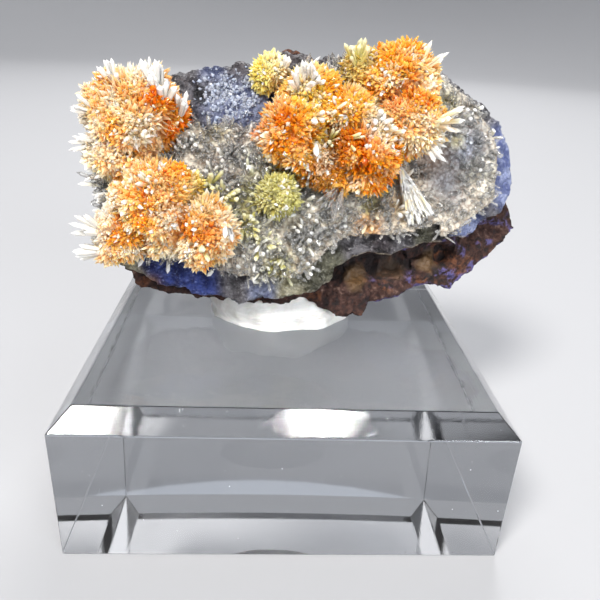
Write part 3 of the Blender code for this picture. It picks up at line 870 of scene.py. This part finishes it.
# Each ball's slot and lobes: x, z, stand-off from the bed and reach of its tips in millimetres, and tint
BALLS = {
    "ball_upper_left": ("orange_creedite", (
        (-19.2, 46.2, 3, 6.4, "orange"), (-21.3, 42, 2.6, 4.4, "peach"))),
    "ball_lower_left": ("orange_creedite", (
        (-16.1, 36.8, 3.2, 6, "peach"), (-10.4, 33.8, 2.8, 4.8, "orange"),
        (-20, 33, 2.8, 4.3, "amber"), (-15.2, 33.4, 2.6, 4, "orange"))),
    "mass_centre": ("orange_creedite", (
        (0.1, 45.1, 3, 5.2, "orange"), (2.1, 49, 2.6, 4.5, "amber"), (6.1, 47.2, 2.8, 4.4, "amber"),
        (8.6, 43.1, 3.2, 5.1, "orange"), (4.4, 41.9, 2.6, 4.2, "rust"), (12.6, 51.2, 2.8, 5.2, "orange"),
        (13.6, 46.7, 2.8, 5, "peach"), (8.4, 51.8, 2, 3.4, "lemon"))),
    "tuft_yellow": ("yellow_creedite", ((-3.2, 51.2, 1.9, 2.6, "yellow"),)),
    "ball_green": ("yellow_creedite", ((-1.7, 38, 2.2, 3.2, "green"),)),
}
CORE_SHARE = 0.66
BUSH_SIZES = (0.9, 2.5, 1.5)
BUSH_SPACING = 1.85 * MM
MISSING_BUSHES = 0.14
WHITE_SHARE = 0.1
LARGE_SHARE = 0.12
LARGE_WIDTH = 1.7
BUSH_HEART = 0.8
BUSH_PITCH = 0.46 * MM
COVER_PITCH = 0.52 * MM
HEART_VOXEL = 0.32 * MM
HEART_RELIEF = 0.25 * MM
GOLDEN_ANGLE = math.pi * (3 - math.sqrt(5))


def count_on(radius, pitch):
    """How many places a pitch apart a sphere has room for."""
    return round(4 * math.pi * (radius / pitch) ** 2)


def spread_directions(count, rng, jitter):
    """Directions spread evenly all round, each shaken a little."""
    for i in range(count):
        up = 1 - 2 * (i + 0.5) / count
        flat = math.sqrt(1 - up * up)
        turn = GOLDEN_ANGLE * i
        ray = Vector((flat * math.cos(turn), flat * math.sin(turn), up))
        yield (ray + jitter * scatter(rng)).normalized()


def lobe_centre(lobe):
    x, z, stand_off = (size * MM for size in lobe[:3])
    return Vector((x, hit_at(crust_target, x, z).y - stand_off, z))


def in_plate(point, margin):
    """True if a point lies behind the plate's front, or this near to it."""
    front = hit_at(plate_target, point.x, point.z)
    return front is not None and point.y > front.y - margin


def in_others(point, lobe, lobes, share):
    """True if a point is inside one of the other lobes, taken at a share of its reach."""
    others = [other for other in lobes if other is not lobe]
    return any((point - lobe_centre(other)).length < share * other[3] * MM for other in others)


def lobe_swell(lobe, ray):
    """A lobe's reach in one direction, as a share of its usual one."""
    middle = Vector((lobe[0], 0, lobe[1]))
    lump = 0.26 * noise.noise(1.2 * ray + middle) + 0.2 * noise.noise(2.8 * ray + 2 * middle)
    return 1 + min(0.05, lump) - 0.13 * max(0, ray.z)


def find_bushes(lobes, rng):
    """Small centres all round each lobe that crystals grow from: middle, radius and lobe."""
    found = []
    for lobe in lobes:
        centre, reach = lobe_centre(lobe), lobe[3] * MM
        for ray in spread_directions(count_on(0.8 * reach, BUSH_SPACING), rng, 0.35):
            size = rng.triangular(*BUSH_SIZES) * MM
            middle = centre + ray * (reach * lobe_swell(lobe, ray) - size + rng.uniform(-0.8, 0.35) * MM)
            if rng.random() < MISSING_BUSHES:
                continue
            if not in_plate(middle, -0.3 * size) and not in_others(middle, lobe, lobes, 0.78):
                found.append((middle, size, lobe))
    return found


def hearts(name, lobes, bushes):
    """The fused, deeply coloured middles of the lobes and bushes, seen between the crystals."""
    bm = bmesh.new()
    spheres = [(middle, BUSH_HEART * size, 2) for middle, size, _ in bushes]
    spheres += [(lobe_centre(lobe), CORE_SHARE * lobe[3] * MM, 4) for lobe in lobes]
    for middle, radius, fineness in spheres:
        spot = Matrix.Translation(middle)
        bmesh.ops.create_icosphere(bm, subdivisions=fineness, radius=radius, matrix=spot)
    mesh = even_mesh(bm, HEART_VOXEL)
    for i, place, normal in corners(mesh):
        swell = waves(place, 1.6) + 0.7 * waves(place, 0.5)
        mesh.vertices[i].co = place + normal * HEART_RELIEF * swell
    mesh.shade_smooth()
    tint_by_place(mesh, BALL_SPOTS, lobes[0][4])
    made = add_object(name + "_heart", mesh, [HEART_FINISH])
    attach(made, "root")
    return made


def cover_lobe(growth, lobe, lobes):
    """Close-set crystals all over a lobe."""
    rng = growth.rng
    centre, reach = lobe_centre(lobe), lobe[3] * MM
    core = CORE_SHARE * reach
    for ray in spread_directions(count_on(core, COVER_PITCH), rng, 0.5 * COVER_PITCH / core):
        root = centre + ray * (core - 0.5 * MM)
        skin = centre + ray * core
        swell = 1 + 0.4 * waves(skin, 1.3)
        length = (reach - core) * rng.triangular(0.5, 1, 0.75) * swell + 0.5 * MM
        lean = ray + 0.5 * noise.noise_vector(skin / (1.2 * MM)) + 0.5 * scatter(rng)
        tip = root + lean.normalized() * length
        if not in_plate(tip, 0.2 * MM) and not in_others(tip, lobe, lobes, 0.86):
            growth.add(root, lean, length, rng.triangular(0.3, 0.62, 0.42) * MM)


def cover_bush(growth, bushes, index):
    """Crystals that spread out of one small centre, clear of its neighbours."""
    rng = growth.rng
    middle, size, lobe = bushes[index]
    out = (middle - lobe_centre(lobe)).normalized()
    for ray in spread_directions(count_on(size, BUSH_PITCH), rng, 0.6 * BUSH_PITCH / size):
        if ray.dot(out) < -0.1:
            continue
        lean = (ray + 0.2 * out + 0.6 * scatter(rng)).normalized()
        reach = size * rng.triangular(0.78, 1.45, 1.05)
        root = middle + ray * 0.5 * size
        tip = root + lean * (reach - 0.5 * size)
        apart = np.linalg.norm(bushes_at - tip, axis=1) / bush_sizes
        apart[index] = 9
        if apart.min() > 0.72 and not in_plate(tip, 0.2 * MM):
            tint = rng.choice(("white", "cream")) if rng.random() < WHITE_SHARE else None
            width = rng.triangular(0.3, 0.8, 0.44) * (LARGE_WIDTH if rng.random() < LARGE_SHARE else 1)
            growth.add(root, lean, (tip - root).length, width * MM, tint)


MOTTLE = {"orange_creedite": 1.1, "yellow_creedite": 0.5}
BALL_FINISHES = {}
for slot in MOTTLE:
    BALL_FINISHES[slot] = creedite_material(slot.replace("creedite", "prisms"), 0.1, 0.05, 1, 1)
# The hearts take the ground's finish, with its painted shade along the cell borders.
HEART_FINISH = ground_material("creedite_heart", 1)
heart_objects = []
for seed, (ball, (slot, lobes)) in enumerate(BALLS.items(), 31):
    bushes = find_bushes(lobes, random.Random(seed))
    heart = hearts(ball, lobes, bushes)
    heart_objects.append(heart)
    growth = Growth(lobes[0][4], seed, BALL_SPOTS, mottle=MOTTLE[slot])
    for lobe in lobes:
        cover_lobe(growth, lobe, lobes)
    bushes_at = np.array([bush[0] for bush in bushes])
    bush_sizes = np.array([bush[1] for bush in bushes])
    for index in range(len(bushes)):
        cover_bush(growth, bushes, index)
    finish = BALL_FINISHES[slot]
    crystals = grow(ball + "_crystals", growth, finish, shoulder=0.64, root_width=0.7, seed=seed)
    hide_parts("creedite_" + ball)


# Large crystals: clear, white, cream and lemon six-sided prisms. They stand out in loose bunches on the
# balls and on the carpet, and root in the same bed as their neighbours.

# Each bunch: x and z in millimetres, lean, how many, spread, length and width in millimetres, and tint
BUNCHES = (
    (-15.2, 50.4, (-0.2, -0.3, 1), 8, 0.32, 2.7, 1, "white"),
    (-13.2, 49.8, (0.2, -0.3, 1), 8, 0.35, 2.3, 0.8, "white"),
    (-16.8, 50.6, (-0.3, -0.4, 1), 6, 0.4, 1.7, 0.7, "white"),
    (-10.8, 48.9, (0.2, -0.4, 1), 6, 0.3, 2, 0.8, "white"),
    (-20.2, 51, (-0.3, -0.3, 1), 7, 0.5, 1.7, 0.6, "white"),
    (-23.8, 46.8, (-1, -0.3, 0.5), 9, 0.5, 1.8, 0.6, "white"),
    (-24.4, 43.6, (-1, -0.3, 0), 10, 0.5, 1.8, 0.6, "white"),
    (-22.8, 39.9, (-1, -0.3, -0.3), 9, 0.5, 1.8, 0.6, "white"),
    (-22.3, 36.5, (-1, -0.3, -0.2), 9, 0.45, 2.2, 0.7, "white"),
    (-22.6, 33.8, (-1, -0.3, 0.5), 8, 0.4, 2.6, 0.8, "white"),
    (-22.9, 31, (-1, -0.2, -0.1), 10, 0.4, 2.3, 0.7, "white"),
    (-18.2, 44.6, (0.1, -1, 0.3), 12, 0.6, 1.9, 0.6, "cream"),
    (-16, 39.6, (0, -1, 0.6), 8, 0.5, 2, 0.6, "cream"),
    (-10.4, 38.2, (0.2, -1, 0.6), 16, 0.6, 2.2, 0.7, "lemon"),
    (-8.2, 37, (0.5, -1, 0.3), 14, 0.6, 2, 0.7, "lemon"),
    (-7.6, 35.2, (0.4, -1, -0.6), 3, 0.25, 2.4, 0.9, "white"),
    (-10.6, 32.7, (0.2, -1, -0.3), 3, 0.3, 2, 0.9, "lemon"),
    (-6.6, 31.8, (0.7, -1, -0.4), 8, 0.5, 2.2, 0.6, "clear"),
    (-5.4, 34, (0.2, -1, 0.2), 16, 0.8, 1.3, 0.6, "lemon"),
    (-3.2, 31.6, (0.2, -1, 0.1), 14, 0.8, 1.3, 0.6, "lemon"),
    (-1.4, 29.8, (0.2, -1, 0), 10, 0.7, 1.1, 0.5, "green"),
    (-3.6, 36.4, (0, -1, 0), 14, 0.9, 1.3, 0.6, "green"),
    (0.6, 39.6, (0.2, -1, 0.3), 12, 0.8, 1.3, 0.5, "lemon"),
    (-0.6, 50.9, (0, -0.7, 0.8), 8, 0.45, 2, 0.7, "white"),
    (-1.6, 52.2, (0.2, -0.7, 0.8), 7, 0.5, 1.2, 0.6, "white"),
    (1.7, 51, (0.1, -0.9, 0.6), 9, 0.5, 1.7, 0.6, "white"),
    (2.5, 44.2, (0.1, -1, -0.5), 3, 0.2, 2.6, 0.8, "white"),
    (2.3, 47.4, (0, -1, 0.1), 3, 0.25, 2.2, 0.9, "cream"),
    (4.6, 48, (0.9, -0.9, 0.5), 6, 0.5, 1.6, 0.5, "cream"),
    (6.4, 45.2, (0.6, -1, 0.2), 5, 0.5, 1.2, 0.5, "lemon"),
    (4.2, 44.6, (0.2, -1, 0.3), 5, 0.4, 1.8, 0.6, "lemon"),
    (9.6, 46.8, (0, -1, 0.2), 12, 0.6, 2, 0.7, "white"),
    (11, 45.6, (0.3, -1, 0), 6, 0.5, 2, 0.7, "cream"),
    (16.6, 47.4, (0.9, -0.8, 0.3), 12, 0.5, 2.3, 0.7, "cream"),
    (16.2, 44.6, (0.7, -0.9, -0.4), 12, 0.5, 2.3, 0.6, "white"),
    (7.2, 53.4, (-0.2, -0.5, 0.9), 9, 0.5, 1.9, 0.8, "lemon"),
    (15.4, 53.2, (0.7, -0.4, 0.8), 8, 0.5, 2, 0.6, "cream"),
    (11.5, 36.4, (0, -0.9, 0.8), 6, 0.4, 2.2, 0.7, "clear"),
    (5.6, 39, (-0.5, -0.8, -0.9), 20, 0.4, 3.4, 0.42, "clear"),
    (23.6, 41.2, (0.5, -0.9, 0.3), 8, 0.5, 2.4, 0.9, "clear"),
    (19.8, 46.4, (0.4, -0.9, 0.4), 8, 0.6, 2.6, 1, "clear"),
)

large_target = target_of(*heart_objects, ground)
large_clear = Growth("clear", 77, BALL_SPOTS)
large_milky = Growth("white", 78, BALL_SPOTS)
for x, z, lean, count, spread, length, width, tint in BUNCHES:
    growth = large_clear if tint == "clear" else large_milky
    rng = growth.rng
    hit = hit_at(large_target, x * MM, z * MM) or large_target.find_nearest(Vector((x, -5, z)) * MM)[0]
    for _ in range(count):
        shake = scatter(rng)
        ray = (Vector(lean).normalized() + spread * shake).normalized()
        root = hit + 1.3 * spread * MM * shake - 0.2 * MM * ray
        size = rng.uniform(0.5, 1)
        growth.add(root, ray, (0.6 + length * size) * MM, width * rng.uniform(0.7, 1.1) * MM, tint)
LARGE_FINISH = creedite_material("large_prisms", 0.9, 0.02, 0.12)
LARGE_SHAPE = {"sides": 6, "shoulder": 0.78, "tip_shift": 0.35, "root_width": 0.85, "seed": 9}
crystals = grow("large_clear_crystals", large_clear, LARGE_FINISH, **LARGE_SHAPE)
crystals = grow("large_milky_crystals", large_milky, MILKY_CREEDITE, **LARGE_SHAPE)


# Studio: a pale floor that sweeps up into a backdrop all round, soft round lamps, and a camera that stands
# where the photograph's stood.

FLOOR_RADIUS = 0.9
WALL_RADIUS = 1.5
WALL_HEIGHT = 1.3
SWEEP_STEPS = 12
FLOOR_SIDES = 64
FLOOR_GAP = 0.05 * MM
FLOOR_COLOUR = (0.42, 0.42, 0.43, 1)
LAMP_TARGET = Vector((0, 0, 30)) * MM
CAMERA_PLACE = Vector((-2.861, -77.294, 56.441)) * MM
CAMERA_YAW = 0.062619
CAMERA_PITCH = 0.424341
CAMERA_ROLL = 0.0539474
CAMERA_LENS = 36.037


# A round floor whose edge sweeps up like a bowl
profile = [(FLOOR_RADIUS, 0)]
sweep = WALL_RADIUS - FLOOR_RADIUS
for i in range(1, SWEEP_STEPS + 1):
    turn = math.pi / 2 * i / SWEEP_STEPS
    profile.append((FLOOR_RADIUS + sweep * math.sin(turn), sweep * (1 - math.cos(turn))))
profile.append((WALL_RADIUS, WALL_HEIGHT))
turns = [math.tau * i / FLOOR_SIDES for i in range(FLOOR_SIDES)]
bm = bmesh.new()
rings = []
for radius, height in profile:
    places = [(radius * math.cos(turn), radius * math.sin(turn), height - FLOOR_GAP) for turn in turns]
    rings.append([bm.verts.new(place) for place in places])
middle = bm.verts.new((0, 0, -FLOOR_GAP))
for one, other in zip(rings[0], rings[0][1:] + rings[0][:1]):
    bm.faces.new((middle, one, other))
join_rings(bm, rings)
bmesh.ops.recalc_face_normals(bm, faces=bm.faces)
made, wire, _ = start_material("floor")
finish_material(made, wire, surface(wire, {"Base Color": FLOOR_COLOUR, "Roughness": 0.7}))
from_bmesh("floor", bm, [made], smooth=True)


def soft_light(name, place, size, power, colour=(1, 1, 1)):
    """A round lamp that isn't seen through clear pieces."""
    lamp = bpy.data.lights.new(name, "AREA")
    lamp.shape = "DISK"
    lamp.size = size
    lamp.energy = power
    lamp.color = colour
    made = add_object(name, lamp)
    made.location = place
    made.rotation_euler = (Vector(place) - LAMP_TARGET).to_track_quat("Z", "Y").to_euler()
    made.visible_transmission = False


soft_light("key", (-0.4, -0.55, 0.8), 0.3, 12.8, (1, 0.98, 0.95))
soft_light("fill", (0.5, -0.75, 0.26), 0.5, 5.5, (0.92, 0.96, 1))
soft_light("rim", (0.15, 0.7, 0.7), 0.45, 6)
soft_light("glint", (0.1, -0.6, 0.85), 0.06, 2.4)

world = bpy.data.worlds.new("soft")
world.use_nodes = True
sky = world.node_tree.nodes["Background"]
sky.inputs["Color"].default_value = (0.85, 0.9, 1, 1)
sky.inputs["Strength"].default_value = 0.5
bpy.context.scene.world = world

camera = add_object("camera", bpy.data.cameras.new("camera"))
facing = Matrix.Rotation(-CAMERA_YAW, 4, "Z") @ Matrix.Rotation(math.pi / 2 - CAMERA_PITCH, 4, "X")
camera.matrix_world = Matrix.Translation(CAMERA_PLACE) @ facing @ Matrix.Rotation(CAMERA_ROLL, 4, "Z")
camera.data.lens = CAMERA_LENS
camera.data.clip_start = 0.001
bpy.context.scene.camera = camera
bpy.context.scene.view_settings.view_transform = "Standard"
